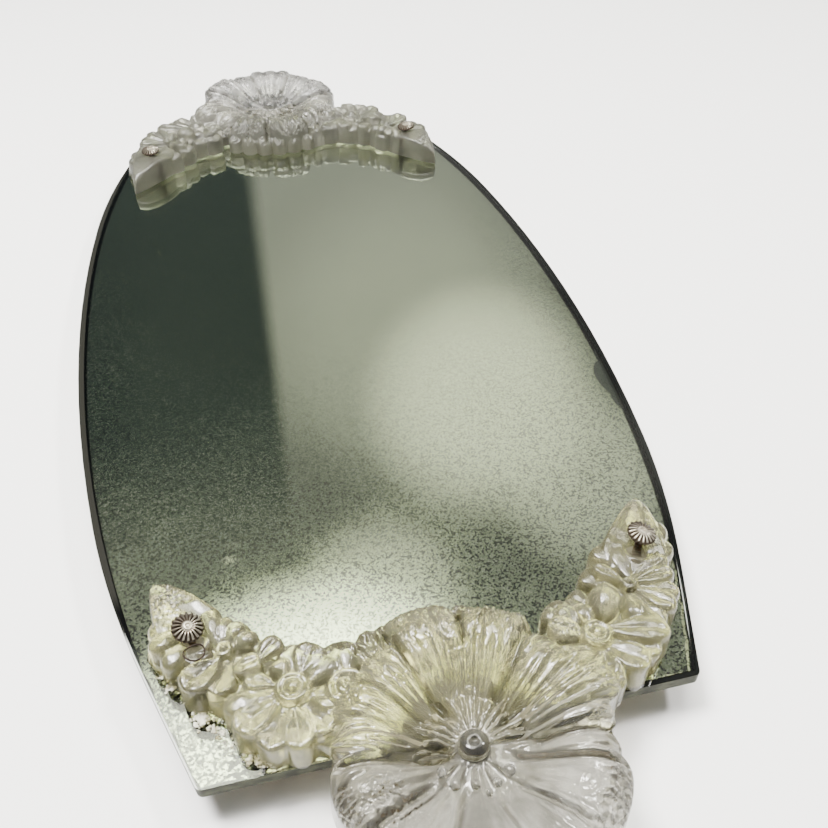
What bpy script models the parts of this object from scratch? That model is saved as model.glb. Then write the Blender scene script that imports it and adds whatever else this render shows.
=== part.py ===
"""Barrel-shaped mirror with a moulded flower garland pinned across each end.

The mirror lies on its back: +Z is the way it faces, +Y runs along its length, and the origin is on the
surface that it rests on, under its middle. From the bottom up it is rubber bumpers and a hanger, a backing
board, a felt sheet, the silvering, the glass, the two garlands, and the four rosette-headed nails that hold
them.
"""

import math

import bmesh
import bpy
from mathutils import Matrix, Vector

MM = 0.001
GAP = 0.3 * MM  # between two pieces that touch

# Glass: a barrel outline of a long side arc, a tighter shoulder arc and a straight run into each corner.
GLASS_LENGTH = 500 * MM
GLASS_WIDTH = 270 * MM
GLASS_THICKNESS = 5 * MM
SIDE_RADIUS = 926 * MM
SHOULDER_RADIUS = 405 * MM
SHOULDER_STARTS = math.radians(7.7)
SHOULDER_ENDS = math.radians(18.8)
CORNER_RADIUS = 2.5 * MM

# Layers behind the glass, and how far each stays inside the glass's edge.
SILVER_THICKNESS = 0.4 * MM
SILVER_INSET = 0.8 * MM
FELT_THICKNESS = 1 * MM
FELT_INSET = 16 * MM
BOARD_THICKNESS = 8 * MM
BOARD_INSET = 13 * MM
BUMPER_HEIGHT = 5 * MM
BUMPER_RADIUS = 9 * MM
BUMPER_X = 70 * MM
BUMPER_Y = 212 * MM

# Garland, in its own frame: origin under the middle of the big flower, +Y towards the middle of the mirror.
FLOWER_OVERHANG = 10.5 * MM  # the big flower's middle lies this far past the end of the glass
PIN_X = 89 * MM
PIN_Y = 64 * MM
PIN_BOSS_RADIUS = 8 * MM
PIN_BOSS_HEIGHT = 13.5 * MM
BED_ARC_Y = 122 * MM  # the garland follows a circle about this point
BED_ARC_RADIUS = 105 * MM
BED_HALF_WIDTH = 12 * MM
BED_HALF_ANGLE = math.radians(64)
BED_HEIGHT = 8 * MM
BED_STEPS = 36

# Nails with a stamped rosette cap, and the washer under the garland at each.
NAIL_RADIUS = 1.7 * MM
NAIL_LENGTH = 28.6 * MM
NAIL_HEAD_RADIUS = 3.2 * MM
NAIL_HEAD_THICKNESS = 1 * MM
CAP_RADIUS = 5.8 * MM
CAP_HEIGHT = 3 * MM
CAP_FLUTES = 16
CAP_RECESS_RADIUS = NAIL_HEAD_RADIUS + 2 * GAP
CAP_RECESS_DEPTH = 1.6 * MM
NAIL_DRAWN = {  # how far each nail stands out of its garland
    "near_left": 2.2 * MM,
    "near_right": 5.2 * MM,
    "far_left": 0.8 * MM,
    "far_right": 0.4 * MM,
}
WASHER_RADIUS = 5 * MM
WASHER_THICKNESS = 1.1 * MM

# Hanger: a folded brass strap whose knuckle holds the bar of a D-shaped ring.
STRAP_WIDTH = 14 * MM
STRAP_LENGTH = 26 * MM
STRAP_THICKNESS = 1.2 * MM
KNUCKLE_RADIUS = 2.3 * MM
KNUCKLE_BORE = 1.3 * MM
KNUCKLE_Y = 92 * MM
RING_WIRE_RADIUS = 1.1 * MM
RING_HALF_WIDTH = 11 * MM
RING_SIDE = 7 * MM
RING_CORNER = 3 * MM
SCREW_STEPS_Y = (8 * MM, 18 * MM)  # from the knuckle
SCREW_RADIUS = 1.4 * MM
SCREW_LENGTH = 7 * MM
SCREW_HEAD_RADIUS = 2.9 * MM
SCREW_HEAD_HEIGHT = 1.4 * MM
SCREW_SLOT_WIDTH = 0.8 * MM
SCREW_SLOT_DEPTH = 0.7 * MM
SCREW_SLOT_TURN = math.radians(35)  # each slot stops this much further round than the last

# Heights of the layers above the surface that the mirror lies on.
BOARD_Z = BUMPER_HEIGHT + GAP
FELT_Z = BOARD_Z + BOARD_THICKNESS + GAP
SILVER_Z = FELT_Z + FELT_THICKNESS + GAP
GLASS_Z = SILVER_Z + SILVER_THICKNESS + GAP
GLASS_TOP_Z = GLASS_Z + GLASS_THICKNESS
GARLAND_Z = GLASS_TOP_Z + GAP
GARLAND_Y = GLASS_LENGTH / 2 + FLOWER_OVERHANG
SEAT_Z = GARLAND_Z + PIN_BOSS_HEIGHT

# Petals as (middle angle, half of its angle, length), in degrees and millimetres.
BIG_FLOWER = (
    (79, 31, 55),
    (25, 23, 57),
    (-15, 17, 54),
    (-56, 24, 54),
    (-103, 23, 55),
    (-148, 22, 54),
    (-188, 18, 52),
    (-228, 22, 57),
)
DAISY = (
    (78, 30, 18),
    (20, 24, 20),
    (-18, 18, 25),
    (-62, 26, 22),
    (-115, 27, 20),
    (-180, 38, 17),
    (-235, 17, 16),
)
STAR = (
    (95, 29, 15),
    (40, 26, 15),
    (-8, 22, 18),
    (-47, 17, 20),
    (-90, 26, 16),
    (-155, 39, 14),
    (-215, 21, 14),
)

# Rings of a flower from its middle out, as (share of the reach, height, how far its petals' sides dip).
BIG_RINGS = (
    (0.10, 12.5 * MM, 0),
    (0.16, 9 * MM, 0),
    (0.42, 12 * MM, 1.5 * MM),
    (0.72, 18 * MM, 5 * MM),
    (0.90, 20 * MM, 6 * MM),
    (1.0, 17.5 * MM, 6 * MM),
)
SMALL_RINGS = (
    (0.24, 13 * MM, 0),
    (0.36, 10 * MM, 1 * MM),
    (0.75, 13 * MM, 3.5 * MM),
    (1.0, 11 * MM, 3 * MM),
)
BIG_NOTCH = 0.07  # how deep the notch between two petals is, as a share of their length
SMALL_NOTCH = 0.2
DAISY_AT = (56 * MM, 32.5 * MM)
STAR_AT = (76.5 * MM, 50.5 * MM)
DAISY_TWIST = math.radians(-12)  # the left-hand daisy is turned a little against the right-hand one

# Leaves as (root x, root y, tip x, tip y, half width), in millimetres, on the right-hand arm.
TIP_LEAF = (79, 48, 101.5, 89, 13.5)
INNER_LEAF = (20, 18, 45, 47, 11)
LEAF_CROWN = 13 * MM
LEAF_EDGE = 9 * MM


def material(name, colour, roughness, metallic=0.0):
    """A plain Principled material."""
    made = bpy.data.materials.new(name)
    made.use_nodes = True
    shader = made.node_tree.nodes["Principled BSDF"]
    shader.inputs["Base Color"].default_value = (*colour, 1.0)
    shader.inputs["Roughness"].default_value = roughness
    shader.inputs["Metallic"].default_value = metallic
    return made


def place(name, data, finish):
    """Links an object that shows this data in this material."""
    made = bpy.data.objects.new(name, data)
    if finish is not None and not data.materials:
        data.materials.append(finish)
    bpy.context.scene.collection.objects.link(made)
    return made


def finish_mesh(name, bm, sharp_degrees=35):
    """A mesh from bm, its faces turned outwards and its round stretches shaded smooth."""
    bmesh.ops.recalc_face_normals(bm, faces=bm.faces)
    mesh = bpy.data.meshes.new(name)
    bm.to_mesh(mesh)
    bm.free()
    mesh.shade_smooth()
    mesh.set_sharp_from_angle(angle=math.radians(sharp_degrees))
    return mesh


def arc(cx, cy, radius, start, end, steps):
    """Points along an arc, both ends included."""
    return [
        (
            cx + radius * math.cos(start + (end - start) * i / steps),
            cy + radius * math.sin(start + (end - start) * i / steps),
        )
        for i in range(steps + 1)
    ]


def circle(cx, cy, radius, steps=20):
    return arc(cx, cy, radius, 0, 2 * math.pi, steps)[:-1]


def barrel(inset):
    """The glass's outline, drawn this far inside its edge."""
    side_x = GLASS_WIDTH / 2 - SIDE_RADIUS
    shoulder_x = side_x + (SIDE_RADIUS - SHOULDER_RADIUS) * math.cos(SHOULDER_STARTS)
    shoulder_y = (SIDE_RADIUS - SHOULDER_RADIUS) * math.sin(SHOULDER_STARTS)
    # The corner's arc touches the straight run, whose outward normal is at SHOULDER_ENDS, and the end.
    out_x, out_y = math.cos(SHOULDER_ENDS), math.sin(SHOULDER_ENDS)
    reach = shoulder_x * out_x + shoulder_y * out_y + SHOULDER_RADIUS - inset - CORNER_RADIUS
    corner_y = GLASS_LENGTH / 2 - inset - CORNER_RADIUS
    corner_x = (reach - corner_y * out_y) / out_x
    quarter = arc(side_x, 0, SIDE_RADIUS - inset, 0, SHOULDER_STARTS, 6)[:-1]
    quarter += arc(shoulder_x, shoulder_y, SHOULDER_RADIUS - inset, SHOULDER_STARTS, SHOULDER_ENDS, 7)
    quarter += arc(corner_x, corner_y, CORNER_RADIUS, SHOULDER_ENDS, math.pi / 2, 5)
    left = [(-x, y) for x, y in reversed(quarter)]
    half = quarter + left
    return half + [(-x, -y) for x, y in half[1:-1]]


def slab(name, loops, low_z, thickness, finish):
    """A flat plate: the first loop is its edge and the others are holes through it."""
    curve = bpy.data.curves.new(name, "CURVE")
    curve.dimensions = "2D"
    curve.fill_mode = "BOTH"
    curve.extrude = thickness / 2
    for loop in loops:
        spline = curve.splines.new("POLY")
        spline.points.add(len(loop) - 1)
        for point, (x, y) in zip(spline.points, loop):
            point.co = (x, y, 0, 1)
        spline.use_cyclic_u = True
    made = place(name, curve, finish)
    made.location.z = low_z + thickness / 2
    return made


def turned(name, profile, steps):
    """A closed solid turned about Z from a profile of (radius, z) that starts and ends on the axis."""
    bm = bmesh.new()
    rings = []
    for radius, z in profile:
        if radius == 0:
            rings.append([bm.verts.new((0, 0, z))])
        else:
            rings.append([bm.verts.new((x, y, z)) for x, y in circle(0, 0, radius, steps)])
    for lower, upper in zip(rings, rings[1:]):
        join_rings(bm, lower, upper)
    return finish_mesh(name, bm)


def join_rings(bm, first, second):
    """Faces between two closed rings of vertices, either of which may be a single point."""
    count = max(len(first), len(second))
    for i in range(count):
        j = (i + 1) % count
        inner = [first[i % len(first)], first[j % len(first)]]
        corners = [*inner, second[j % len(second)], second[i % len(second)]]
        kept = [c for k, c in enumerate(corners) if c not in corners[:k]]
        bm.faces.new(kept)


def petal_at(petals, angle):
    """(length, place across it from -1 to 1) of the petal that holds this angle in radians."""
    degrees = math.degrees(angle)
    found = min(petals, key=lambda p: abs((degrees - p[0] + 180) % 360 - 180) / p[1])
    across = ((degrees - found[0] + 180) % 360 - 180) / found[1]
    return found[2] * MM, max(-1.0, min(1.0, across))


def flower_edge(petals, angle, notch):
    """How far the flower reaches at this angle: each petal's end is round, with a notch to the next."""
    length, across = petal_at(petals, angle)
    return length * (1 - 0.05 * across**2 - notch * across**8)


def flower(name, petals, steps, notch, rings, base_depth):
    """A closed moulded flower. rings are (share of the reach, height mid-petal, dip at the petal's sides)."""
    bm = bmesh.new()
    angles = [2 * math.pi * i / steps for i in range(steps)]
    loops = []
    for share, height, dip in rings:
        loop = []
        for angle in angles:
            reach = share * flower_edge(petals, angle, notch if share > 0.5 else 0)
            across = petal_at(petals, angle)[1]
            z = height - dip * across**4
            loop.append(bm.verts.new((reach * math.cos(angle), reach * math.sin(angle), z)))
        loops.append(loop)
    foot = [bm.verts.new((v.co.x * 1.02, v.co.y * 1.02, -base_depth)) for v in loops[-1]]
    top = bm.verts.new((0, 0, rings[0][1] + 0.2 * MM))
    chain = [[top], *loops, foot, [bm.verts.new((0, 0, -base_depth))]]
    for inner, outer in zip(chain, chain[1:]):
        join_rings(bm, inner, outer)
    return finish_mesh(name, bm, 60)


def leaf(name, shape, mirrored, base_depth):
    """A closed pointed leaf with a raised middle, on the left-hand arm if mirrored."""
    root = Vector((shape[0] * MM, shape[1] * MM))
    tip = Vector((shape[2] * MM, shape[3] * MM))
    along = tip - root
    aside = Vector((along.y, -along.x)).normalized() * shape[4] * MM
    steps, lanes = 8, (-1.0, -0.55, 0.0, 0.55, 1.0)
    bm = bmesh.new()
    rows = []
    for i in range(steps + 1):
        share = 0.02 + 0.97 * i / steps
        width = math.sin(math.pi * share**0.8) ** 0.7
        row = []
        for lane in lanes:
            at = root + along * share + aside * width * lane
            z = LEAF_EDGE + (LEAF_CROWN - LEAF_EDGE) * (1 - lane**2) * width
            row.append(bm.verts.new((at.x, at.y, z)))
        rows.append(row)
    for row, following in zip(rows, rows[1:]):
        for i in range(len(lanes) - 1):
            bm.faces.new((row[i], row[i + 1], following[i + 1], following[i]))
    rim = [e for e in bm.edges if e.is_boundary]
    skirt = bmesh.ops.extrude_edge_only(bm, edges=rim)["geom"]
    for vert in (v for v in skirt if isinstance(v, bmesh.types.BMVert)):
        vert.co.z = -base_depth
    bmesh.ops.holes_fill(bm, edges=[e for e in bm.edges if e.is_boundary])
    if mirrored:
        bmesh.ops.transform(bm, matrix=Matrix.Diagonal((-1, 1, 1, 1)), verts=bm.verts)
    return finish_mesh(name, bm, 60)


def garland_bed(name, base_depth):
    """The closed curved band that the flowers grow out of."""
    half = BED_HALF_ANGLE
    down = -math.pi / 2
    outer = arc(0, BED_ARC_Y, BED_ARC_RADIUS + BED_HALF_WIDTH, down - half, down + half, BED_STEPS)
    inner = arc(0, BED_ARC_Y, BED_ARC_RADIUS - BED_HALF_WIDTH, down + half, down - half, BED_STEPS)
    bm = bmesh.new()
    face = bm.faces.new([bm.verts.new((x, y, -base_depth)) for x, y in outer + inner])
    walls = bmesh.ops.extrude_face_region(bm, geom=[face])["geom"]
    for vert in (v for v in walls if isinstance(v, bmesh.types.BMVert)):
        vert.co.z = BED_HEIGHT
    return finish_mesh(name, bm)


def helper(name, mesh, x=0.0, y=0.0, z=0.0, turn=0.0):
    """An object that only takes part in a Boolean."""
    made = place(name, mesh, None)
    made.location = (x, y, z)
    made.rotation_euler.z = turn
    made.hide_render = True
    made.display_type = "WIRE"
    return made


def boolean(target, other, operation):
    step = target.modifiers.new(other.name, "BOOLEAN")
    step.operation = operation
    step.object = other
    step.solver = "EXACT"


def applied(source, name):
    """A mesh of the object with its modifiers worked out."""
    graph = bpy.context.evaluated_depsgraph_get()
    mesh = bpy.data.meshes.new_from_object(source.evaluated_get(graph))
    mesh.name = name
    mesh.materials.clear()
    return mesh


def pin_boss(label, base_depth):
    profile = (
        (0, -base_depth),
        (PIN_BOSS_RADIUS, -base_depth),
        (PIN_BOSS_RADIUS, PIN_BOSS_HEIGHT),
        (0, PIN_BOSS_HEIGHT),
    )
    return turned(f"boss_{label}", profile, 20)


def arm(side, label, depths):
    """The solids of one arm of the garland: two small flowers, two leaves and the boss for its nail."""
    parts = []
    for kind, petals, at in (("daisy", DAISY, DAISY_AT), ("star", STAR, STAR_AT)):
        turned_petals = petals if side > 0 else [(180 - a, w, length) for a, w, length in petals]
        mesh = flower(f"{kind}_{label}", turned_petals, 36, SMALL_NOTCH, SMALL_RINGS, next(depths))
        twist = DAISY_TWIST if (kind, side) == ("daisy", -1) else 0.0
        parts.append(helper(f"{kind}_{label}", mesh, side * at[0], at[1], 0, twist))
    for kind, shape in (("tip_leaf", TIP_LEAF), ("inner_leaf", INNER_LEAF)):
        parts.append(helper(f"{kind}_{label}", leaf(f"{kind}_{label}", shape, side < 0, next(depths))))
    parts.append(helper(f"boss_{label}", pin_boss(label, next(depths)), side * PIN_X, PIN_Y))
    return parts


def cutters():
    """What is cut away from the moulding: all below its back, and at each nail a bore and a washer's seat."""
    room = GLASS_WIDTH
    below = bmesh.new()
    bmesh.ops.create_cube(below, size=2 * room)
    made = [helper("below", finish_mesh("below", below), 0, 0, -room)]
    deep = 1 * MM
    bore, seat = NAIL_RADIUS + 2 * GAP, WASHER_RADIUS + 2 * GAP
    seat_z = WASHER_THICKNESS + GAP
    through = 2 * PIN_BOSS_HEIGHT
    profile = ((0, -deep), (seat, -deep), (seat, seat_z), (bore, seat_z), (bore, through), (0, through))
    bit = turned("pin_cutter", profile, 20)
    for side, label in ((1, "right"), (-1, "left")):
        made.append(helper(f"pin_cutter_{label}", bit, side * PIN_X, PIN_Y))
    return made


def garland_mesh():
    """The whole moulding: flowers, leaves and bed as one solid with a flat back, bored for its two nails."""
    # Each piece reaches deeper than the last, so that no two share a plane before the back is cut flat.
    depths = (i * 0.1 * MM for i in range(20, 40))
    whole = helper("moulding", garland_bed("moulding", next(depths)))
    big = flower("big_flower", BIG_FLOWER, 60, BIG_NOTCH, BIG_RINGS, next(depths))
    parts = [helper("big_flower", big), *arm(1, "right", depths), *arm(-1, "left", depths)]
    for part in parts:
        boolean(whole, part, "UNION")
    for part in cutters():
        boolean(whole, part, "DIFFERENCE")
    bpy.context.view_layer.update()
    return applied(whole, "garland")


def rosette_mesh():
    """A stamped cap: a fluted dome with a small button, hollow underneath for the nail's head."""
    steps = 2 * CAP_FLUTES
    bm = bmesh.new()
    outside = (
        (0.16, 1.16, 0.0),
        (0.28, 0.92, 0.0),
        (0.62, 0.80, 0.10),
        (0.90, 0.42, 0.14),
        (1.0, 0.16, 0.10),
        (0.98, 0.0, 0.0),
    )
    loops = [[bm.verts.new((0, 0, CAP_HEIGHT * 1.2))]]
    for share, height, flute in outside:
        loop = []
        for i in range(steps):
            angle = 2 * math.pi * i / steps
            raised = flute if i % 2 else 0.0
            radius = CAP_RADIUS * (share - 0.25 * raised)
            z = CAP_HEIGHT * (height - raised)
            loop.append(bm.verts.new((radius * math.cos(angle), radius * math.sin(angle), z)))
        loops.append(loop)
    for z in (0.0, CAP_RECESS_DEPTH):
        loops.append([bm.verts.new((x, y, z)) for x, y in circle(0, 0, CAP_RECESS_RADIUS, steps)])
    loops.append([bm.verts.new((0, 0, CAP_RECESS_DEPTH))])
    for first, second in zip(loops, loops[1:]):
        join_rings(bm, first, second)
    return finish_mesh("rosette", bm, 25)


def nail_mesh():
    """A round nail with a flat head and a tapered point. Its origin is under its head."""
    point = 2.5 * MM
    profile = (
        (0, -NAIL_LENGTH),
        (0.4 * MM, -NAIL_LENGTH),
        (NAIL_RADIUS, point - NAIL_LENGTH),
        (NAIL_RADIUS, 0),
        (NAIL_HEAD_RADIUS, 0),
        (NAIL_HEAD_RADIUS, NAIL_HEAD_THICKNESS),
        (0, NAIL_HEAD_THICKNESS),
    )
    return turned("nail", profile, 14)


def washer(name, x, y, finish):
    loops = (circle(x, y, WASHER_RADIUS), circle(x, y, NAIL_RADIUS + 2 * GAP, 14))
    return slab(name, loops, GLASS_TOP_Z + GAP, WASHER_THICKNESS, finish)


def fixings(brass, steel, felt):
    """A nail, its rosette cap and its washer at each of the four garland ends."""
    rosette, nail = rosette_mesh(), nail_mesh()
    rosette.materials.append(brass)
    nail.materials.append(steel)
    pin_y = GARLAND_Y - PIN_Y
    for label, x, y in (
        ("near_left", -PIN_X, -pin_y),
        ("near_right", PIN_X, -pin_y),
        ("far_left", -PIN_X, pin_y),
        ("far_right", PIN_X, pin_y),
    ):
        rim_z = SEAT_Z + GAP + NAIL_DRAWN[label]
        place(f"rosette_{label}", rosette, None).location = (x, y, rim_z)
        place(f"nail_{label}", nail, None).location = (x, y, rim_z + GAP)
        washer(f"felt_washer_{label}", x, y, felt)


def bumpers(rubber):
    """Four rubber bumpers that keep the hanger off the wall or table."""
    chamfer = 1 * MM
    profile = (
        (0, 0),
        (BUMPER_RADIUS - 2 * chamfer, 0),
        (BUMPER_RADIUS - chamfer, chamfer),
        (BUMPER_RADIUS, BUMPER_HEIGHT),
        (0, BUMPER_HEIGHT),
    )
    mesh = turned("bumper", profile, 24)
    mesh.materials.append(rubber)
    for end, y in (("near", -BUMPER_Y), ("far", BUMPER_Y)):
        for side, x in (("left", -BUMPER_X), ("right", BUMPER_X)):
            place(f"bumper_{end}_{side}", mesh, None).location = (x, y, 0)


def screw_places():
    return [KNUCKLE_Y - step for step in SCREW_STEPS_Y]


def hanger_strap(brass, knuckle_z):
    """The strap, drilled for its screws. The knuckle at its end holds the ring."""
    top = KNUCKLE_RADIUS
    low = top - STRAP_THICKNESS
    # Section through the strap, drawn in (along, up) from the knuckle's axis and extruded across its width.
    curl = arc(0, 0, KNUCKLE_RADIUS, math.pi / 2, -math.pi - math.asin(low / KNUCKLE_RADIUS), 16)
    section = [(-STRAP_LENGTH, low), (-STRAP_LENGTH, top), *curl]
    flat = slab("hanger_strap", (section, circle(0, 0, KNUCKLE_BORE, 18)), 0, STRAP_WIDTH, brass)
    mesh = applied(flat, "hanger_strap")
    bpy.data.objects.remove(flat)
    bm = bmesh.new()
    bm.from_mesh(mesh)
    bmesh.ops.remove_doubles(bm, verts=bm.verts, dist=0.01 * MM)
    bm.to_mesh(mesh)
    bm.free()
    # The section's +X becomes +Y and its +Y becomes +Z.
    mesh.transform(Matrix(((0, 0, 1, 0), (1, 0, 0, KNUCKLE_Y), (0, 1, 0, knuckle_z), (0, 0, 0, 1))))
    strap = place("hanger_strap", mesh, brass)
    hole = SCREW_RADIUS + GAP
    reach = 2 * STRAP_THICKNESS
    drill = turned("drill", ((0, -reach), (hole, -reach), (hole, reach), (0, reach)), 16)
    for number, y in enumerate(screw_places(), 1):
        boolean(strap, helper(f"drill_{number}", drill, 0, y, BUMPER_HEIGHT), "DIFFERENCE")


def hanger_screws(steel):
    """Two slotted screws that hold the strap on the board, their heads downwards."""
    screw_profile = (
        (0, -SCREW_HEAD_HEIGHT),
        (0.6 * SCREW_HEAD_RADIUS, -SCREW_HEAD_HEIGHT),
        (SCREW_HEAD_RADIUS, -0.4 * SCREW_HEAD_HEIGHT),
        (SCREW_HEAD_RADIUS, 0),
        (SCREW_RADIUS, 0),
        (SCREW_RADIUS, SCREW_LENGTH - 2 * MM),
        (0.3 * MM, SCREW_LENGTH),
        (0, SCREW_LENGTH),
    )
    screw = turned("screw", screw_profile, 16)
    screw.materials.append(steel)
    slot = bmesh.new()
    bmesh.ops.create_cube(slot, size=1)
    size = (4 * SCREW_HEAD_RADIUS, SCREW_SLOT_WIDTH, 2 * SCREW_SLOT_DEPTH)
    bmesh.ops.scale(slot, vec=size, verts=slot.verts)
    slot = finish_mesh("slot", slot)
    head_z = BUMPER_HEIGHT - STRAP_THICKNESS - GAP
    for number, y in enumerate(screw_places(), 1):
        made = place(f"hanger_screw_{number}", screw, None)
        made.location = (0, y, head_z)
        turn = number * SCREW_SLOT_TURN
        boolean(made, helper(f"slot_{number}", slot, 0, y, head_z - SCREW_HEAD_HEIGHT, turn), "DIFFERENCE")


def hanger_ring(steel, knuckle_z):
    """The D-shaped ring, its straight bar in the strap's knuckle."""
    ring = bpy.data.curves.new("hanger_ring", "CURVE")
    ring.dimensions = "3D"
    ring.bevel_depth = RING_WIRE_RADIUS
    ring.bevel_resolution = 2
    half, corner = RING_HALF_WIDTH, RING_CORNER
    path = arc(half - corner, corner, corner, -math.pi / 2, 0, 4)
    path += arc(0, corner + RING_SIDE, half, 0, math.pi, 12)
    path += arc(corner - half, corner, corner, math.pi, 1.5 * math.pi, 4)
    path.append((0, 0))
    spline = ring.splines.new("POLY")
    spline.points.add(len(path) - 1)
    for point, (x, y) in zip(spline.points, path):
        point.co = (x, y, 0, 1)
    spline.use_cyclic_u = True
    place("hanger_ring", ring, steel).location = (0, KNUCKLE_Y, knuckle_z)


def main():
    for old in list(bpy.data.objects):
        bpy.data.objects.remove(old)
    glass = material("clear_glass", (0.80, 0.86, 0.82), 0.03)
    silver = material("aged_silver", (0.55, 0.58, 0.52), 0.12, 1.0)
    moulded = material("moulded_resin", (0.78, 0.77, 0.68), 0.22)
    brass = material("tarnished_brass", (0.42, 0.35, 0.25), 0.38, 1.0)
    steel = material("rusted_steel", (0.24, 0.19, 0.15), 0.6, 1.0)
    felt = material("grey_felt", (0.30, 0.30, 0.27), 0.95)
    wood = material("birch_plywood", (0.62, 0.48, 0.32), 0.7)
    rubber = material("black_rubber", (0.05, 0.05, 0.05), 0.8)

    pin_y = GARLAND_Y - PIN_Y
    pins = [(x, y) for x in (-PIN_X, PIN_X) for y in (-pin_y, pin_y)]
    clear = [circle(x, y, NAIL_RADIUS + 4 * GAP, 16) for x, y in pins]
    close = [circle(x, y, NAIL_RADIUS + GAP, 14) for x, y in pins]
    screws = [circle(0, y, SCREW_RADIUS + GAP, 14) for y in screw_places()]
    slab("mirror_glass", [barrel(0), *clear], GLASS_Z, GLASS_THICKNESS, glass)
    slab("silvering", [barrel(SILVER_INSET), *clear], SILVER_Z, SILVER_THICKNESS, silver)
    slab("felt_sheet", [barrel(FELT_INSET), *clear], FELT_Z, FELT_THICKNESS, felt)
    slab("backing_board", [barrel(BOARD_INSET), *close, *screws], BOARD_Z, BOARD_THICKNESS, wood)
    bumpers(rubber)
    knuckle_z = BUMPER_HEIGHT - KNUCKLE_RADIUS
    hanger_strap(brass, knuckle_z)
    hanger_screws(steel)
    hanger_ring(steel, knuckle_z)
    fixings(brass, steel, felt)

    garland = garland_mesh()
    garland.materials.append(moulded)
    for end, y, turn in (("near", -GARLAND_Y, 0.0), ("far", GARLAND_Y, math.pi)):
        made = place(f"garland_{end}", garland, None)
        made.location = (0, y, GARLAND_Z)
        made.rotation_euler.z = turn


main()
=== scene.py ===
"""Looks of the barrel-shaped mirror: aged silver under glass, and a clear moulded garland across each end.

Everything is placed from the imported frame. A garland is sculpted in its own frame, in millimetres: its
origin is under the middle of the big flower, on the flat back, and +Y points at the middle of the mirror.
The far garland is the same moulding turned by half a turn.
"""

import math

import bmesh
import bpy
import numpy as np
from mathutils import Matrix, Vector, noise


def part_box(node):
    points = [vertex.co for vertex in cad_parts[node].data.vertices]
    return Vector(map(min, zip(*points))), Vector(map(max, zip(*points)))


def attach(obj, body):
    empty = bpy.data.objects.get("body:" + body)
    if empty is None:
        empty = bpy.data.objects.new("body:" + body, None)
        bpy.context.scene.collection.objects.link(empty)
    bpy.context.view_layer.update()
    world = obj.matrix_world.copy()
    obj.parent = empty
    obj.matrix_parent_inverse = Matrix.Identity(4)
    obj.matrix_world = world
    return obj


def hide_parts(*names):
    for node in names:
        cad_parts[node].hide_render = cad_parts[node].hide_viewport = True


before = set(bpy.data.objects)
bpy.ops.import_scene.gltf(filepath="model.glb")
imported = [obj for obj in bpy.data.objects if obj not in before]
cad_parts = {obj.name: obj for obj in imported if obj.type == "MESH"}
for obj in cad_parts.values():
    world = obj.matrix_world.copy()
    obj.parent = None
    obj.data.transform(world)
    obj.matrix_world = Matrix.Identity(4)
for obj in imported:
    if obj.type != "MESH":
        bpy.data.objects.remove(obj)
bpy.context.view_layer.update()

MM = 0.001
BODY = "mirror"

# Camera: the photographer's place above the near end, in millimetres from the middle of the glass's face.
CAMERA_AT = (-58.5, -399.1, 293.2)
CAMERA_FORWARD = (0.18852, 0.71658, -0.67155)
CAMERA_UP = (0.15658, 0.65313, 0.74088)
CAMERA_LENS = 39.03

# Stage. The world is a pale room with soft patches, as (azimuth, elevation, radius, tint, strength).
FLOOR_HALF_SIDE = 4.0
WORLD_COLOUR = (0.30, 0.30, 0.29)
WORLD_PATCHES = (
    (7, 26, 22, (1.0, 1.0, 0.94), 0.58),
    (14, 37, 11, (1.0, 1.0, 0.90), 0.88),
    (30, 45, 6.5, (1.0, 1.0, 0.88), 1.3),
    (20.5, 41.2, 8.5, (1.0, 1.0, 0.85), 2.2),
    (12, 54, 6, (1.0, 1.0, 0.86), 1.6),
    (-5, 77, 24, (1.0, 0.98, 0.93), 20.0),
    (4, 64, 13, (0.97, 1.0, 0.80), 16.0),
    (180, 10, 55, (1.0, 1.0, 1.0), 0.10),
)
LIGHT_COLOUR = (1.0, 0.98, 0.95)
LIGHTS = (  # name, place, aim, side and watts, in metres
    ("key", (-0.5, 0.1, 1.5), (0, 0, 0), 0.45, 75),
    ("glint", (0.75, -0.15, 1.2), (0, -0.2, 0), 0.17, 18),
)
PANEL_GLOW = (0.086, 0.103, 0.108)
PANEL_LEFT = -1.9
PANEL_RIGHT = 0.078
PANEL_TOP = 2.12
PANEL_AWAY = 1.5
PANEL_SOFT_SIDE = 0.05
PANEL_SOFT_TOP = 0.82

# Surface of the moulding, in millimetres.
VOXEL = 0.5
STEP = 0.7  # spacing of the points that a petal is drawn with
FLOOR = -1.5  # how deep every solid reaches before the back is cut flat
EDGE_RADIUS = 2.0
FINE_WAVES = 0.75  # of its roughness, in waves a millimetre
COARSE_WAVES = 0.3

# Big flower: petals as (angle, half angle, length, lift), angles in degrees.
BIG_PETALS = (
    (15, 10.5, 58, 0.9),
    (37, 13, 51, -0.6),
    (64, 14, 54.5, 0.5),
    (83, 9, 52, -0.4),
    (99, 14, 56.5, 0.9),
    (126, 13, 49, -0.9),
    (147, 11, 49.5, 0.6),
    (167, 12, 47.5, -0.6),
    (-166, 16, 50, 1.2),
    (-133, 16, 53.5, -1.2),
    (-98, 19, 54, 1.0),
    (-66, 13, 54, -1.4),
    (-39, 16, 53, 1.4),
    (-16, 8, 49.5, -1.2),
    (-1, 8, 50, 0.6),
)
BIG_PROFILE = (9.0, 12.0, 17.6, 12.0)  # heights along a big petal
LIFT_SHARES = (0.2, 1, 1, 1)  # how much of its lift each of those heights gets

# Skirt of low petals under the inner rim of the big flower.
SKIRT_ANGLES = range(56, 132, 11)
SKIRT_ROOT = 38
SKIRT_REACH = 59.5
SKIRT_HALF_WIDTH = 5.4
SKIRT_PROFILE = (9.0, 9.4, 8.6, 6.0)

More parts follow.
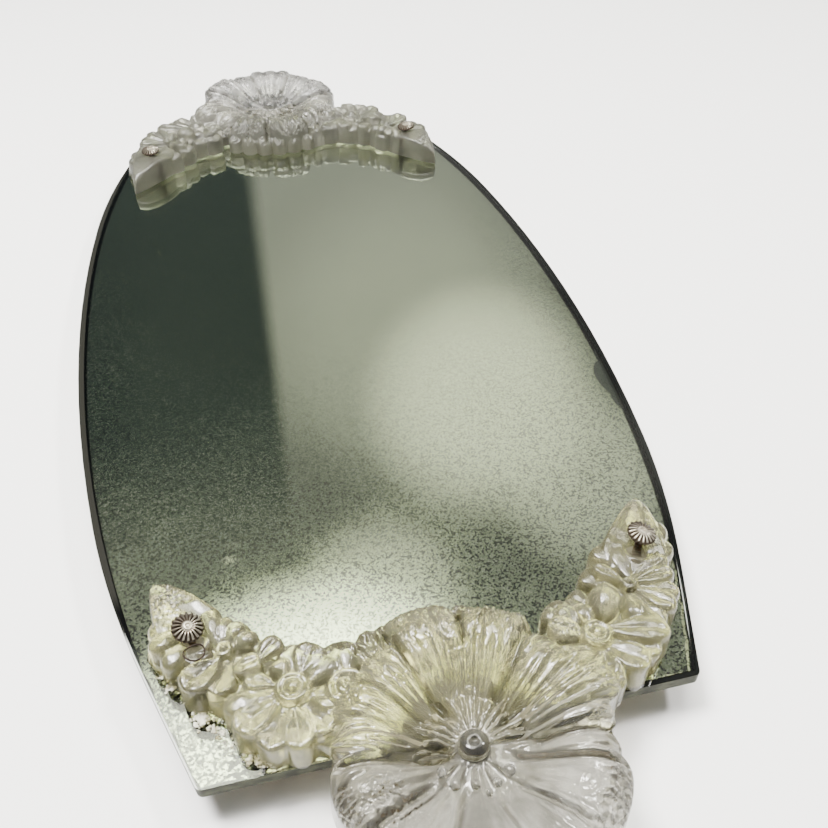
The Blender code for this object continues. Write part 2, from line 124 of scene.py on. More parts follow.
# Valleys between the big petals, as (angle, start, end, depth, half width), in degrees and millimetres.
BIG_VALLEYS = (
    (4, 14, 54, 3.0, 1.6),
    (25, 12, 48, 3.2, 1.4),
    (50, 18, 53, 5.6, 2.2),
    (80, 36, 56, 4.8, 1.1),
    (92, 18, 42, 1.6, 1.0),
    (114, 12, 56, 5.2, 1.7),
    (138, 14, 50, 3.6, 1.4),
    (157, 14, 46, 2.0, 1.4),
    (179, 7, 48, 5.0, 2.4),
    (-150, 20, 56, 4.0, 1.6),
    (-117, 17, 58, 4.4, 1.5),
    (-79, 18, 58, 4.4, 1.4),
    (-54, 18, 58, 4.4, 1.5),
    (-24, 14, 54, 4.4, 1.6),
    (-8, 20, 54, 5.0, 1.8),
)

# Middle of the big flower: a cratered dome, and round it filaments and beads, as (x, y, radius).
DOME_RADIUS = 5.2
DOME_BASE = 11.5
DOME_TOP = 14.2
CRATER_RADIUS = 1.9
CRATER_DEPTH = 1.3
TONGUES = 15  # short flat filaments on the upper half
BEADS = (
    (-13, -7, 1.9),
    (-10, -12, 2.1),
    (-3.5, -13.5, 1.7),
    (3.5, -14.5, 1.7),
    (8.5, -11.5, 2.2),
    (0, -17, 1.4),
)

# Grooves cut from the middle to the rim of the big flower.
GROOVES_PER_PETAL = 3

# Combed stretches of the big flower's rim, as (angle, half angle, depth in millimetres).
COMB_PITCH = 2.7
COMB_RADIUS = 52  # at which the pitch holds
COMB_START = 42
COMBED = ((96, 30, 0.6), (60, 10, 0.6), (-45, 28, 0.9), (-158, 14, 0.7), (15, 9, 0.4))

# Crumbled patches as (x, y, radius, height).
CRUMBLED = (
    (45, 33, 7, 0.9),
    (-32, -14, 9, 1.2),
    (34, -28, 8, 0.5),
    (-22, -38, 9, 0.5),
    (-37, 26, 6, 0.6),
    (2, 41, 9, 0.45),
    (24, 38, 6, 0.4),
    (-17, 45, 7, 0.5),
    (13, 48, 7, 0.5),
    (44, -3, 6, 0.5),
    (-97, 85, 7, 0.8),
    (-98, 74, 6, 0.4),
    (-44, 49, 5, 0.5),
)

# Kinds of small petal, as what petal() is given for each.
KINDS = {
    "shell": dict(crown=-0.5, veins=(2, 0.7), rim=1.4, blunt=3.4),
    "tongue": dict(crown=1.3, veins=(1, 0.5), blunt=2.6),
    "blade": dict(crown=0.8, veins=(2, 0.8), rim=1.0, blunt=2.8),
    "ball": dict(crown=4.0, veins=(7, 0.7), blunt=2.0),
    "skirt": dict(crown=0.8, veins=(2, 0.5), blunt=4.0),
    "leaf": dict(crown=1.3, veins=(1, -0.9), rim=0.6, pointed=True),
    "flat": dict(crown=0.2, veins=(1, 0.8), rim=0.8, blunt=3.4),
}
PETAL_FALL = 1.6  # how far a small petal drops towards its tip
LEAF_FALL = 6.4
PETAL_DRAFT = 0.02  # how much wider its foot is than its top
LEAF_DRAFT = 0.06

# The two arms: small petals as (root x, root y, tip x, tip y, half width, height, kind), and bosses as
# (centre, radius, top).
LEFT_PETALS = (
    (-58, 37, -49, 53, 7.6, 10.5, "skirt"),
    (-64, 46, -61, 58, 6.0, 10.5, "skirt"),
    (-77, 58, -71, 69, 6.6, 10.2, "skirt"),
    (-36, 36, -38, 50.5, 7.4, 11.6, "skirt"),
    (-24, 38, -26, 52.5, 5.2, 11.2, "blade"),
    (-52, 40, -45, 51, 6.4, 12.4, "blade"),
    (-50, 36, -38, 45, 5.4, 11.6, "tongue"),
    (-51, 31, -40, 27, 5.6, 12.0, "blade"),
    (-53, 29, -45, 16, 5.4, 11.6, "shell"),
    (-56, 29, -56, 11.5, 5.6, 12.2, "shell"),
    (-59, 30, -67, 14, 5.8, 11.4, "shell"),
    (-60, 32, -77, 23.5, 6.0, 12.6, "shell"),
    (-60, 35, -80, 33, 5.0, 11.8, "tongue"),
    (-61, 38, -72, 41, 4.4, 12.8, "blade"),
    (-57, 40, -60, 47, 4.0, 12.6, "tongue"),
    (-75, 45, -64.5, 47.2, 4.4, 15.4, "blade"),
    (-66, 49, -57, 56, 4.6, 12.8, "blade"),
    (-79, 53, -92.5, 42.5, 6.4, 13.4, "shell"),
    (-76, 52, -82, 38.5, 5.6, 12.2, "shell"),
    (-79, 58, -81.5, 74, 3.9, 13.2, "tongue"),
    (-78, 58, -75, 70.5, 3.8, 12.4, "tongue"),
    (-76, 58, -69.5, 66, 3.8, 13.4, "tongue"),
    (-75, 56, -64.5, 60, 3.8, 12.6, "tongue"),
    (-82, 57, -92, 56.5, 5.0, 11.4, "flat"),
    (-90, 66, -104, 62.5, 4.6, 12.8, "tongue"),
    (-89, 62, -99, 53.5, 4.8, 12.2, "tongue"),
    (-88, 66, -104, 72, 4.6, 11.6, "tongue"),
    (-85, 60, -102.5, 96.0, 13.0, 12.0, "leaf"),
)
LEFT_BOSSES = (((-55.5, 34.5), 4.6, 15.2), ((-77.3, 55.5), 2.3, 14.8), ((-37, 30), 5.6, 15.6))

RIGHT_PETALS = (
    (50, 38, 43.5, 48, 6.4, 10.5, "skirt"),
    (60, 42, 52.5, 50, 6.4, 10.2, "skirt"),
    (70, 50, 63.5, 60.5, 6.6, 10.5, "skirt"),
    (78, 58, 74, 71, 6.6, 10.8, "skirt"),
    (52, 36, 46.5, 44.5, 4.6, 12.8, "flat"),
    (58, 26, 70, 13.5, 6.0, 12.6, "shell"),
    (60, 29, 77, 18, 5.4, 11.6, "shell"),
    (56, 25, 55, 7, 5.0, 12.0, "shell"),
    (53, 27, 43, 20, 5.0, 11.4, "blade"),
    (60, 32, 83.5, 24.5, 6.0, 13.2, "blade"),
    (52, 31, 40, 38, 5.2, 13.2, "blade"),
    (57, 34, 54, 44, 4.0, 12.4, "tongue"),
    (60, 35.5, 67.5, 47.5, 6.4, 14.6, "ball"),
    (79, 49, 96.5, 49, 4.4, 13.6, "blade"),
    (79, 47, 95, 40, 4.8, 12.4, "blade"),
    (79, 45.5, 90, 33, 4.8, 13.4, "blade"),
    (77, 44.5, 83, 28, 4.4, 12.2, "blade"),
    (75, 45, 74, 32, 4.2, 11.6, "tongue"),
    (79, 51, 80, 67, 5.0, 12.2, "flat"),
    (76, 50, 66, 59, 3.6, 13.4, "blade"),
    (73, 47, 64, 49, 3.8, 12.0, "tongue"),
    (80, 51, 97.5, 56.5, 3.8, 12.6, "shell"),
    (86, 58, 102.5, 64, 5.6, 11.4, "blade"),
    (86, 62, 103.5, 74, 6.0, 11.8, "blade"),
    (82, 54, 102, 94, 13.5, 12.2, "leaf"),
)
RIGHT_BOSSES = (((56.2, 29.8), 4.2, 15.6), ((77.4, 48.0), 2.3, 15.2))

# Section of a boss from its foot to its middle, as (share of its radius, drop below its top).
BOSS_PROFILE = ((1.35, 2.8), (1.15, 1.3), (0.92, 1.7), (0.72, 2.4), (0.50, 1.0), (0.25, 0.3), (0, 0.1))

# How far the big flower reaches from its middle, away from the plate.
FLOWER_REACH = 54.2

# Painted shade in the grooves and valleys of the moulding.
GROOVE_SHADE_COLOUR = (0.13, 0.12, 0.085)
# Painted dark reflection on the dome in the middle of the big flower.
DOME_REFLECTION_COLOUR = (0.17, 0.167, 0.16)

# Tints of a garland: thin and milky where it overhangs, then thin and milky over the plate. The overhanging
# tints are greyer and darker as painted shade, and those over the plate are yellower as painted reflection of
# the silver. The far garland's tints are a darker copy, as painted shade.
NEAR_TINTS = ((0.36, 0.35, 0.32), (0.64, 0.63, 0.585), (0.58, 0.545, 0.345), (0.77, 0.725, 0.49))
FAR_SHADED_TINTS = ((0.29, 0.285, 0.275), (0.43, 0.425, 0.41), (0.44, 0.43, 0.35), (0.57, 0.555, 0.46))

# Bed of the garland: a curved band about (0, BED_Y).
BED_Y = 122
BED_RADIUS = 106
BED_HALF_WIDTH = 12
BED_HALF_SPAN = 62  # in degrees
BED_TOP = 8.2

# Pins through a garland's arms, at plus and minus x.
PIN_XY = (89, 64)
PIN_HOLE_RADIUS = 2.3
PIN_SEAT_RADIUS = 6.4
PIN_SEAT_Z = {-1: 11.0, 1: 12.0}

# Rosettes, in millimetres.
ROSETTE_RADIUS = 5.8
ROSETTE_HEIGHT = 2.4
ROSETTE_FLUTES = 18
ROSETTE_RELIEF = 0.24

# Section of a rosette from its middle outwards, as shares of (radius, height): button and ring, then flutes.
ROSETTE_BUTTON = ((0, 1), (0.08, 1), (0.12, 0.84), (0.17, 0.8), (0.2, 1.02), (0.25, 1), (0.29, 0.8))
ROSETTE_FAN = ((0.36, 0.8), (0.48, 0.76), (0.6, 0.68), (0.72, 0.56), (0.84, 0.4), (0.93, 0.25), (1, 0.1))

# How each rosette sits: its lean, the heading that it leans along, and its spin, in degrees. The spin also
# turns the painted highlight on each cap's +X side.
ROSETTE_LEANS = {
    ("near", "left"): (17, -45, -50),
    ("near", "right"): (9, -20, -110),
    ("far", "left"): (6, -110, 5),
    ("far", "right"): (10, 200, 12),
}

# Heaps of glue crumbs beside the near garland, as (x, y, spread, count, largest).
CRUMB_HEAPS = (
    (-101.7, 58.0, 0.9, 10, 0.5),
    (-97.4, 52.6, 1.2, 40, 0.62),
    (-93.0, 46.0, 1.2, 12, 0.4),
    (-88.6, 37.4, 1.6, 80, 0.72),
    (-84.0, 32.8, 1.1, 26, 0.5),
    (-82.2, 29.8, 1.0, 26, 0.55),
    (-79.0, 25.5, 1.4, 26, 0.45),
    (-73.0, 19.4, 1.6, 44, 0.6),
    (-69.5, 16.6, 1.4, 40, 0.55),
)
WIRE_AT = (-87.4, 54.6, 15.6)
WIRE_LOOP_RADIUS = 3.6
WIRE_RADIUS = 0.32

# Old metals, each as (dark, rubbed bright, tarnish or rust).
TARNISHED_BRASS = ((0.16, 0.125, 0.09), (0.50, 0.45, 0.36), (0.06, 0.042, 0.03))
RUSTED_STEEL = ((0.05, 0.035, 0.026), (0.22, 0.18, 0.14), (0.10, 0.045, 0.022))
DARK_WIRE = ((0.016, 0.012, 0.010), (0.060, 0.045, 0.036), (0.030, 0.018, 0.012))

# Outline of the plate, in metres: half width = BARREL_HALF_WIDTH - second * y^2 - fourth * y^4.
BARREL_HALF_WIDTH = 0.135
BARREL_HALF_LENGTH = 0.25
BARREL_SECOND = 0.4958
BARREL_FOURTH = 3.076
PLY_THICKNESS = 0.0016

# Places where the silver has chipped off, as (x, y) and half size, in metres.
CHIPS = (
    ((0.1305, -0.080), (0.0080, 0.0150)),
    ((0.1300, -0.096), (0.0058, 0.0130)),
    ((0.1336, -0.0625), (0.0046, 0.0080)),
)

# Corroded stretches and pale marks in the silver, as (x, y), half size and amount, in metres.
CORRODED = (
    ((-0.097, -0.228), (0.020, 0.032), 0.35),
    ((-0.085, -0.236), (0.024, 0.024), 0.35),
    ((-0.068, -0.243), (0.018, 0.020), 0.6),
)
PALE_MARKS = (
    ((-0.0715, -0.1525), (0.0055, 0.0028), 0.25),
    ((-0.0700, -0.1450), (0.0060, 0.0022), 0.15),
    ((-0.078, 0.064), (0.0010, 0.003), 0.12),
    ((-0.068, -0.243), (0.018, 0.022), 0.9),
)


def smooth_step(low, high, value):
    share = np.clip((value - low) / (high - low), 0, 1)
    return share * share * (3 - 2 * share)


def petal(root, tip, half_width, heights, crown=0.8, veins=(0, 0.0), rim=0.0, blunt=3.0, pointed=False,
          scallops=(0, 0.0)):
    """Top surface of one petal, as a grid of points.

    heights are at its root, at 0.45 and 0.8 of its length, and at its tip. crown is the swell across it, and
    rim the rise of its edge. veins and scallops are (number, depth). A higher blunt gives a squarer tip.
    """
    root, tip = np.array(root, float), np.array(tip, float)
    length = np.linalg.norm(tip - root)
    along = (tip - root) / length
    aside = np.array((along[1], -along[0]))
    rows = max(8, int(length / STEP))
    lanes = max(8, int(2 * half_width / STEP))
    share = 1 - (1 - np.linspace(0, 1, rows + 1)) ** 1.5
    share, across = np.meshgrid(share, np.linspace(-1, 1, lanes + 1), indexing="ij")
    if pointed:
        shape = (0.6 + 0.4 * smooth_step(0, 0.25, share)) * np.clip(1 - share, 0, 1) ** 0.8
    else:
        shape = (0.12 + 0.88 * share**0.75) * np.sqrt(np.clip(1 - share**blunt, 0, 1))
    width = half_width * shape / shape.max()
    curve = np.polyfit((0, 0.45, 0.8, 1), heights, 3)
    z = np.polyval(curve, share) + crown * (1 - across**2) * np.sin(np.pi * np.clip(share, 0, 1)) ** 0.5
    z += rim * np.maximum(np.abs(across) ** 3 * smooth_step(0, 0.4, share), smooth_step(0.6, 0.9, share))
    if veins[0]:
        phase = (across * veins[0] / 2 + 0.5 * (veins[0] % 2 == 0)) % 1.0
        reach = smooth_step(0, 0.2, share) * smooth_step(1, 0.8, share)
        z -= veins[1] * np.exp(-(((phase - 0.5) / 0.17) ** 2)) * reach
    from_edge = np.clip(width * (1 - np.abs(across)) / EDGE_RADIUS, 0, 1)
    z -= EDGE_RADIUS * (1 - np.sqrt(1 - (1 - from_edge) ** 2))
    reach = share * length - scallops[1] * (0.5 - 0.5 * np.cos(2 * np.pi * scallops[0] * across)) * share**3
    xy = root + along * reach[..., None] + aside * (width * across)[..., None]
    return np.concatenate([xy, z[..., None]], axis=-1)


def sphere_profile(radius, z):
    turn = np.linspace(-np.pi / 2, np.pi / 2, 9)
    return [(max(radius * math.cos(a), 0.0), z + radius * math.sin(a)) for a in turn]


class Solids:
    """Closed solids gathered into one mesh, before a voxel remesh makes them one surface."""

    def __init__(self):
        self.points = []
        self.faces = []
        self.count = 0

    def add(self, points, faces):
        self.points.append(points)
        self.faces.extend(tuple(self.count + i for i in face) for face in faces)
        self.count += len(points)

    def slab(self, top, draft=PETAL_DRAFT):
        """The solid under a grid of points, down to FLOOR, a little wider at its foot."""
        rows, lanes = top.shape[:2]
        middle = top[..., :2].mean(axis=(0, 1))
        low = top.copy()
        low[..., :2] += (top[..., :2] - middle) * draft
        low[..., 2] = FLOOR
        points = np.concatenate([top.reshape(-1, 3), low.reshape(-1, 3)])
        index = np.arange(rows * lanes).reshape(rows, lanes)
        under = index + rows * lanes
        faces = []
        for i in range(rows - 1):
            for j in range(lanes - 1):
                a, b, c, d = index[i, j], index[i, j + 1], index[i + 1, j + 1], index[i + 1, j]
                faces.append((a, b, c, d))
                faces.append(tuple(k + rows * lanes for k in (d, c, b, a)))
        rim = [*index[0, :-1], *index[:-1, -1], *index[-1, :0:-1], *index[:0:-1, 0]]
        foot = [*under[0, :-1], *under[:-1, -1], *under[-1, :0:-1], *under[:0:-1, 0]]
        for i in range(len(rim)):
            j = (i + 1) % len(rim)
            faces.append((rim[j], rim[i], foot[i], foot[j]))
        self.add(points, faces)

    def turned(self, centre, profile, steps=28):
        """The solid turned about centre from (radius, z) pairs that start and end on its axis."""
        angle = np.linspace(0, 2 * np.pi, steps, endpoint=False)
        radius, z = np.array(profile, float).T
        x = centre[0] + radius[:, None] * np.cos(angle)
        y = centre[1] + radius[:, None] * np.sin(angle)
        points = np.stack([x, y, np.repeat(z[:, None], steps, axis=1)], axis=-1).reshape(-1, 3)
        faces = []
        for i in range(len(profile) - 1):
            for j in range(steps):
                k = (j + 1) % steps
                faces.append((i * steps + j, i * steps + k, (i + 1) * steps + k, (i + 1) * steps + j))
        self.add(points, faces)

    def mesh(self, name):
        made = bpy.data.meshes.new(name)
        made.from_pydata(np.concatenate(self.points) * MM, [], self.faces)
        made.update()
        return made


def heading(degrees):
    return np.array((math.cos(math.radians(degrees)), math.sin(math.radians(degrees))))


def big_flower(solids):
    """The petals of the big flower, the low skirt under its inner rim, and its hub and cratered dome."""
    for angle, half, length, lift in BIG_PETALS:
        way = heading(angle)
        heights = [z + lift * share for z, share in zip(BIG_PROFILE, LIFT_SHARES)]
        width = 1.02 * length * math.sin(math.radians(half))
        top = petal(way * 4, way * length, width, heights, 1.4, (3, 1.2), blunt=9.0, scallops=(2.0, 1.6))
        solids.slab(top)
    for angle in SKIRT_ANGLES:
        way = heading(angle)
        root, tip = way * SKIRT_ROOT, way * SKIRT_REACH
        solids.slab(petal(root, tip, SKIRT_HALF_WIDTH, SKIRT_PROFILE, 1.2, (2, 0.7)))
    solids.turned((0, 0), [(0, FLOOR), (15, FLOOR), (15.5, 8.0), (10, 8.4), (0, 8.4)])
    dome = [(0, FLOOR), (DOME_RADIUS, FLOOR), (DOME_RADIUS, DOME_BASE)]
    for turn in np.linspace(0, math.acos(CRATER_RADIUS / DOME_RADIUS), 8):
        dome.append((DOME_RADIUS * math.cos(turn), DOME_BASE + (DOME_TOP - DOME_BASE) * math.sin(turn)))
    dome += [(0.5 * CRATER_RADIUS, DOME_TOP - 0.8 * CRATER_DEPTH), (0, DOME_TOP - CRATER_DEPTH)]
    solids.turned((0, 0), dome, 40)


def filaments(solids):
    """Tongues round the upper half of the dome, and beads on stalks round its lower half."""
    for i, angle in enumerate(np.linspace(4, 176, TONGUES)):
        way = heading(angle)
        reach = 19.5 + 2.2 * math.sin(2.3 * i)
        solids.slab(petal(way * 5.5, way * reach, 1.25, (10.8, 11.6, 12.6, 12.2), 0.5, blunt=5.0))
    for x, y, radius in BEADS:
        solids.slab(petal((0.4 * x, 0.4 * y), (x, y), 0.8, (10.0, 10.4, 11.0, 11.4), 0.3, blunt=5.0))
        solids.turned((x, y), sphere_profile(radius, 11.6), 16)


def boss(solids, centre, radius, top):
    rings = [(radius * share, top - drop) for share, drop in BOSS_PROFILE]
    solids.turned(centre, [(0, FLOOR), (rings[0][0], FLOOR), *rings])


def arm(solids, petals, bosses):
    """One arm of the garland: its petals and leaves, and the bosses in the middle of its flowers."""
    for rx, ry, tx, ty, width, height, kind in petals:
        fall, draft = (LEAF_FALL, LEAF_DRAFT) if kind == "leaf" else (PETAL_FALL, PETAL_DRAFT)
        heights = (height - 1.2, height - 0.2, height + 0.3 - 0.35 * fall, height - fall)
        solids.slab(petal((rx, ry), (tx, ty), width, heights, **KINDS[kind]), draft)
    for centre, radius, top in bosses:
        boss(solids, centre, radius, top)


def bed(solids):
    """The low curved band that ties the flowers together."""
    angle = np.radians(np.linspace(-90 - BED_HALF_SPAN, -90 + BED_HALF_SPAN, 110))
    across = np.linspace(-1, 1, 18)
    radius = BED_RADIUS + BED_HALF_WIDTH * across[None, :] * (1 + 0.05 * np.sin(9 * angle)[:, None])
    x = radius * np.cos(angle)[:, None]
    y = BED_Y + radius * np.sin(angle)[:, None]
    z = BED_TOP - 2.2 * np.abs(across[None, :]) ** 5 + 0 * x
    solids.slab(np.stack([x, y, z], axis=-1))


def pin_seats(solids):
    for side in (-1, 1):
        top = PIN_SEAT_Z[side]
        solids.turned(
            (side * PIN_XY[0], PIN_XY[1]),
            [(0, FLOOR), (8, FLOOR), (8, top), (7.2, top + 0.8), (PIN_SEAT_RADIUS, top), (0, top)],
        )


def along_ray(radius, angle, at, start, end, half_width):
    """1 on the ray at an angle between two radii, fading to 0 within half_width of it."""
    aside = radius * np.radians((angle - at + 180) % 360 - 180)
    share = np.exp(-((aside / half_width) ** 2)) * smooth_step(start - 3, start + 3, radius)
    return share * smooth_step(end + 3, end - 5, radius)


def groove_depths(radius, angle):
    """Depth of the big flower's radial grooves, and of the valleys between its petals, at each point."""
    draw = np.random.default_rng(7)
    depth = np.zeros_like(radius)
    for middle, half, length, _ in BIG_PETALS:
        for i in range(GROOVES_PER_PETAL):
            at = middle + half * (2 * (i + 0.5 + draw.uniform(-0.2, 0.2)) / GROOVES_PER_PETAL - 1)
            start, end = draw.uniform(12, 22), length * draw.uniform(0.72, 0.82)
            depth += draw.uniform(0.6, 1.3) * along_ray(radius, angle, at, start, end, draw.uniform(0.8, 1.3))
    for at, start, end, deep, wide in BIG_VALLEYS:
        depth = np.maximum(depth, deep * along_ray(radius, angle, at, start, end, wide))
    return depth


def comb_heights(radius, angle, drift):
    """The teeth of the combed stretches, with drift as an uneven shift along the rim."""
    teeth = np.cos(2 * np.pi * (np.radians(angle) * COMB_RADIUS + 1.6 * drift) / COMB_PITCH)
    rise = np.zeros_like(radius)
    for middle, half, depth in COMBED:
        away = np.abs((angle - middle + 180) % 360 - 180)
        rise += depth * teeth * smooth_step(half + 3, half - 3, away)
    return rise * smooth_step(COMB_START, COMB_START + 4, radius)


def skin_heights(points):
    """How far each point of the skin moves up, in millimetres: grooves, comb, crumbs and hammering."""
    x, y = points[:, 0], points[:, 1]
    radius = np.hypot(x, y)
    angle = np.degrees(np.arctan2(y, x))
    on_flower = smooth_step(60, 58, radius)
    fine = np.array([noise.noise(Vector(p) * FINE_WAVES) for p in points])
    coarse = np.array([noise.noise(Vector(p) * COARSE_WAVES) for p in points])
    rise = (comb_heights(radius, angle, coarse) - groove_depths(radius, angle)) * on_flower
    crumbs = sum(h * np.exp(-((x - cx) ** 2 + (y - cy) ** 2) / r**2) for cx, cy, r, h in CRUMBLED)
    return rise + crumbs * (np.abs(fine) * 2.4 - 0.5) + 0.05 * fine + 0.3 * coarse


def vertex_values(mesh, name):
    values = np.empty(len(mesh.vertices) * 3)
    mesh.vertices.foreach_get(name, values)
    return values.reshape(-1, 3)


def worked_skin(mesh):
    """Move the upward skin of the moulding by skin_heights."""
    points, normals = vertex_values(mesh, "co") / MM, vertex_values(mesh, "normal")
    upward = smooth_step(0.15, 0.6, normals[:, 2]) * smooth_step(4, 7, points[:, 2])
    points[:, 2] += skin_heights(points) * upward
    mesh.vertices.foreach_set("co", (points * MM).ravel())
    mesh.update()


def mark_groove_shade(mesh):
    """Give each point the depth of its groove in millimetres, for the painted shade that the material puts
    there.
    """
    x, y, z = vertex_values(mesh, "co").T / MM
    depth = groove_depths(np.hypot(x, y), np.degrees(np.arctan2(y, x)))
    groove_shade = mesh.attributes.new("groove_shade", "FLOAT", "POINT")
    groove_shade.data.foreach_set("value", depth * smooth_step(1, 4, z))


def link(name, data):
    made = bpy.data.objects.new(name, data)
    bpy.context.scene.collection.objects.link(made)
    return made


def worked_out(source, name):
    """A new mesh with the source's modifiers applied. The source is removed."""
    graph = bpy.context.evaluated_depsgraph_get()
    mesh = bpy.data.meshes.new_from_object(source.evaluated_get(graph))
    mesh.name = name
    bpy.data.objects.remove(source)
    return mesh


def cut_flat(source):
    """Cut the back flat and the two pin holes through, as a Boolean on source. Returns the finished mesh."""
    cutters = Solids()
    cutters.turned((0, 60), [(0, -30), (200, -30), (200, 0), (0, 0)], 40)
    for side in (-1, 1):
        radius = PIN_HOLE_RADIUS
        cutters.turned((side * PIN_XY[0], PIN_XY[1]), [(0, -1), (radius, -1), (radius, 40), (0, 40)], 24)
    cutter = link("cutter", cutters.mesh("cutter"))
    cut = source.modifiers.new("cut", "BOOLEAN")
    cut.operation = "DIFFERENCE"
    cut.solver = "MANIFOLD"
    cut.object = cutter
    mesh = worked_out(source, "garland")
    bpy.data.objects.remove(cutter)
    return mesh


def garland_mesh():
    solids = Solids()
    bed(solids)
    big_flower(solids)
    filaments(solids)
    arm(solids, LEFT_PETALS, LEFT_BOSSES)
    arm(solids, RIGHT_PETALS, RIGHT_BOSSES)
    pin_seats(solids)
    rough = link("moulding", solids.mesh("moulding"))
    remesh = rough.modifiers.new("remesh", "REMESH")
    remesh.mode = "VOXEL"
    remesh.voxel_size = VOXEL * MM
    relax = rough.modifiers.new("relax", "SMOOTH")
    relax.factor = 0.5
    relax.iterations = 3
    skin = worked_out(rough, "skin")
    worked_skin(skin)
    mesh = cut_flat(link("moulding", skin))
    mark_groove_shade(mesh)
    mesh.shade_smooth()
    mesh.set_sharp_from_angle(angle=math.radians(60))
    return mesh


def new_node(beside, kind):
    """A new node in the tree that the node or socket beside is in."""
    return beside.id_data.nodes.new(kind)


def feed(value, node, name):
    """Link a socket to a node's input, which is given by its name or number."""
    node.id_data.links.new(value, node.inputs[name])


def math_node(operation, *values):
    """A Math node. Each value may be a number or a socket, and at least one is a socket."""
    sockets = [value for value in values if isinstance(value, bpy.types.NodeSocket)]
    node = new_node(sockets[0], "ShaderNodeMath")
    node.operation = operation
    for i, value in enumerate(values):
        if value in sockets:
            feed(value, node, i)
        else:
            node.inputs[i].default_value = value
    return node.outputs[0]


def product(first, *others):
    for value in others:
        first = math_node("MULTIPLY", first, value)
    return first


def greatest(first, *others):
    for value in others:
        first = math_node("MAXIMUM", first, value)
    return first


def sum_of_squares(first, second):
    return math_node("ADD", product(first, first), product(second, second))


def ramp(value, low, high):
    """0 at low and 1 at high, eased at both ends."""
    node = new_node(value, "ShaderNodeMapRange")
    node.interpolation_type = "SMOOTHSTEP"
    feed(value, node, "Value")
    node.inputs["From Min"].default_value = low
    node.inputs["From Max"].default_value = high
    return node.outputs["Result"]


def ramp_to(value, low, high, from_value, to_value):
    """from_value where value is low, to_value where it is high."""
    node = new_node(value, "ShaderNodeMapRange")
    feed(value, node, "Value")
    for name, number in (("From Min", low), ("From Max", high), ("To Min", from_value), ("To Max", to_value)):
        node.inputs[name].default_value = number
    return node.outputs["Result"]


def between(share, first, second):
    """Number from first at share 0 to second at share 1."""
    return ramp_to(share, 0, 1, first, second)


def mix_colour(share, first, second):
    """Colour from first at share 0 to second at share 1. Each may be a colour or a socket."""
    node = new_node(share, "ShaderNodeMix")
    node.data_type = "RGBA"
    feed(share, node, "Factor")
    for name, value in (("A", first), ("B", second)):
        if isinstance(value, bpy.types.NodeSocket):
            feed(value, node, name)
        else:
            node.inputs[name].default_value = (*value, 1)
    return node.outputs["Result"]


def node_material(name):
    """A new material, its shader, and the object coordinate as a vector in metres."""
    made = bpy.data.materials.new(name)
    made.use_nodes = True
    shader = made.node_tree.nodes["Principled BSDF"]
    return made, shader, new_node(shader, "ShaderNodeTexCoord").outputs["Object"]


def split_xyz(vector):
    node = new_node(vector, "ShaderNodeSeparateXYZ")
    feed(vector, node, 0)
    return node.outputs


def noise_node(place, scale, detail=2.0, stretch=(1, 1, 1)):
    """Noise from 0 to 1; scale is in waves a metre."""
    mapping = new_node(place, "ShaderNodeMapping")
    mapping.inputs["Scale"].default_value = stretch
    feed(place, mapping, "Vector")
    grain = new_node(place, "ShaderNodeTexNoise")
    grain.inputs["Scale"].default_value = scale
    grain.inputs["Detail"].default_value = detail
    feed(mapping.outputs[0], grain, "Vector")
    return grain.outputs["Fac"]


def speck_node(place, scale):
    """A random value from 0 to 1 for each small cell; scale is in cells a metre."""
    cells = new_node(place, "ShaderNodeTexVoronoi")
    cells.inputs["Scale"].default_value = scale
    feed(place, cells, "Vector")
    split = new_node(place, "ShaderNodeSeparateColor")
    feed(cells.outputs["Color"], split, 0)
    return split.outputs[0]


def bump(shader, height, strength, distance):
    node = new_node(shader, "ShaderNodeBump")
    node.inputs["Strength"].default_value = strength
    node.inputs["Distance"].default_value = distance
    feed(height, node, "Height")
    feed(node.outputs["Normal"], shader, "Normal")


def from_axis(x, y):
    """Distance from the object's Z axis."""
    return math_node("SQRT", sum_of_squares(x, y))


def facing_up(place, low, high):
    """1 on the faces that look along Z, and 0 on the edges between them."""
    normal = new_node(place, "ShaderNodeNewGeometry").outputs["True Normal"]
    return ramp(math_node("ABSOLUTE", split_xyz(normal)["Z"]), low, high)


